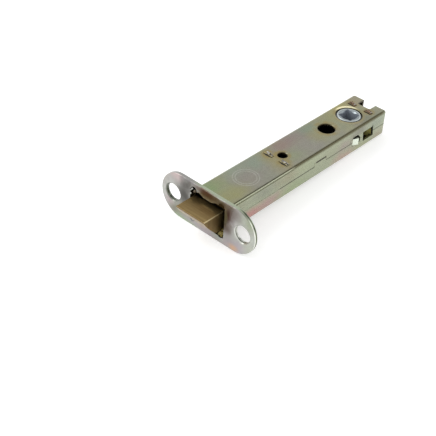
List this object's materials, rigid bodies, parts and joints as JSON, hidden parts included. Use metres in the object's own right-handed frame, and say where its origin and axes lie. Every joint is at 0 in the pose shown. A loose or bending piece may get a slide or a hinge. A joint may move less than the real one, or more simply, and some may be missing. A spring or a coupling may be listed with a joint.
{
  "type": "tubular mortice latch",
  "caption": "Door latch with a sprung bevelled brass bolt in a folded steel case, a round-ended forend and a follower with a square spindle hole.",
  "frame": {"origin": "centre of the forend's front face, halfway between its two screw holes", "axes": "+X from the forend towards the rear of the case, -X the way the bolt points; Z along the follower's axis, +Z away from the bevel; Y across the case, along the forend"},
  "size_m": [0.1386, 0.06, 0.025],
  "materials": {
    "passivated_steel": "yellow passivated zinc plate, satin",
    "brass": "satin, slightly tarnished",
    "zinc_casting": "bright zinc plate",
    "bright_steel": "bright zinc plate",
    "spring_steel": "drawn wire, oiled"
  },
  "bodies": {
    "case": {"forend_plate": "passivated_steel", "case_top_shell": "passivated_steel", "case_bottom_shell": "passivated_steel", "mid_bracket": "passivated_steel", "rear_bracket": "passivated_steel", "lever_spring_stop": "passivated_steel", "bolt_spring": "spring_steel", "bolt_spring_rear_seat": "bright_steel", "lever_spring": "spring_steel", "lever_spring_rear_seat": "bright_steel"},
    "retractor": {"retractor": "bright_steel", "lever_spring_front_seat": "bright_steel"},
    "bolt": {"latch_bolt": "brass", "bolt_cross_pin": "bright_steel", "draw_rod": "bright_steel", "draw_washer": "bright_steel", "draw_clip": "spring_steel", "bolt_spring_front_seat": "bright_steel"},
    "follower": {"follower": "zinc_casting"}
  },
  "joints": [
    {"name": "follower_turn", "type": "hinge", "parent": "case", "child": "follower", "pos_m": [0.108, 0, 0], "axis": [0, 0, 1], "range_deg": [0, 67.6]},
    {"name": "retractor_slide", "type": "slide", "parent": "case", "child": "retractor", "axis": [1, 0, 0], "range_m": [0, 0.0098], "stiffness_N_per_m": 900, "springref_m": -0.006, "deforming": ["lever_spring"]},
    {"name": "bolt_slam", "type": "slide", "parent": "retractor", "child": "bolt", "axis": [1, 0, 0], "range_m": [0, 0.0098], "stiffness_N_per_m": 250, "springref_m": -0.012, "deforming": ["bolt_spring"]}
  ],
  "couplings": [
    {"joint": "follower_turn", "follows": "retractor_slide", "rad_per_m": 120.39}
  ]
}
